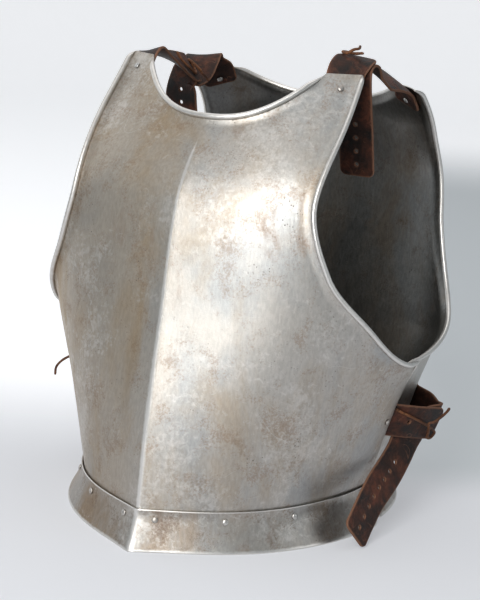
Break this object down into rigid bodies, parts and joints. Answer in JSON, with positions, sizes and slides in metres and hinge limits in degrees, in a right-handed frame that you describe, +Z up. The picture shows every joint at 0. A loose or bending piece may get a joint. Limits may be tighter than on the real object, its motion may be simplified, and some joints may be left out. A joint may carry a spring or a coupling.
{
  "type": "cuirass",
  "caption": "Plain steel cuirass with a keeled breastplate, back plate, flared waist flanges and leather straps tied with thongs.",
  "frame": {"origin": "middle of the footprint, on the floor", "axes": "+Z up, the front faces -Y, +X is the wearer's left"},
  "size_m": [0.4943, 0.4162, 0.4972],
  "materials": {
    "plate_steel": "satin, with a light brown patina",
    "flange_steel": "satin, with a light brown patina",
    "rivet_steel": "satin",
    "strap_leather": "worn",
    "thong_leather": "soft"
  },
  "bodies": {
    "breast": {"breastplate": "plate_steel", "front_waist_flange": "flange_steel", "front_flange_rivet_1": "rivet_steel", "front_flange_rivet_2": "rivet_steel", "front_flange_rivet_3": "rivet_steel", "front_flange_rivet_4": "rivet_steel", "front_flange_rivet_5": "rivet_steel", "front_flange_rivet_6": "rivet_steel", "front_flange_rivet_7": "rivet_steel", "front_flange_rivet_8": "rivet_steel", "left_shoulder_front_strap": "strap_leather", "left_shoulder_front_strap_rivet": "rivet_steel", "left_shoulder_lace": "thong_leather", "right_shoulder_front_strap": "strap_leather", "right_shoulder_front_strap_rivet": "rivet_steel", "right_shoulder_lace": "thong_leather", "left_side_front_strap": "strap_leather", "left_side_front_strap_rivet": "rivet_steel", "left_side_lace": "thong_leather", "right_side_front_strap": "strap_leather", "right_side_front_strap_rivet": "rivet_steel", "right_side_lace": "thong_leather", "left_side_lace_end": "thong_leather", "right_side_lace_end": "thong_leather"},
    "back": {"backplate": "plate_steel", "back_waist_flange": "flange_steel", "back_flange_rivet_1": "rivet_steel", "back_flange_rivet_2": "rivet_steel", "back_flange_rivet_3": "rivet_steel", "back_flange_rivet_4": "rivet_steel", "back_flange_rivet_5": "rivet_steel", "back_flange_rivet_6": "rivet_steel", "left_shoulder_rear_strap": "strap_leather", "left_shoulder_rear_strap_rivet": "rivet_steel", "right_shoulder_rear_strap": "strap_leather", "right_shoulder_rear_strap_rivet": "rivet_steel", "left_side_rear_strap": "strap_leather", "left_side_rear_strap_rivet": "rivet_steel", "right_side_rear_strap": "strap_leather", "right_side_rear_strap_rivet": "rivet_steel"},
    "left_shoulder_tail": {"left_shoulder_strap_tail": "strap_leather"},
    "right_shoulder_tail": {"right_shoulder_strap_tail": "strap_leather"},
    "left_side_tail": {"left_side_strap_tail": "strap_leather"},
    "right_side_tail": {"right_side_strap_tail": "strap_leather"}
  },
  "joints": [
    {"name": "back_opening", "type": "hinge", "parent": "breast", "child": "back", "pos_m": [0, 0.09, 0.458], "axis": [1, 0, 0], "range_deg": [0, 60]},
    {"name": "left_shoulder_tail_swing", "type": "hinge", "parent": "back", "child": "left_shoulder_tail", "pos_m": [0.117, 0.0051, 0.4703], "axis": [1, 0, 0], "range_deg": [0, 50]},
    {"name": "right_shoulder_tail_swing", "type": "hinge", "parent": "back", "child": "right_shoulder_tail", "pos_m": [-0.12097, 0.07913, 0.43423], "axis": [0.8417, -0.2525, -0.4773], "range_deg": [0, 50]},
    {"name": "left_side_tail_swing", "type": "hinge", "parent": "back", "child": "left_side_tail", "pos_m": [0.18273, 0.04081, 0.07274], "axis": [-0.4349, -0.6778, 0.5929], "range_deg": [0, 30]},
    {"name": "right_side_tail_swing", "type": "hinge", "parent": "back", "child": "right_side_tail", "pos_m": [-0.18273, 0.04081, 0.07274], "axis": [-0.4349, 0.6778, -0.5929], "range_deg": [0, 30]}
  ]
}
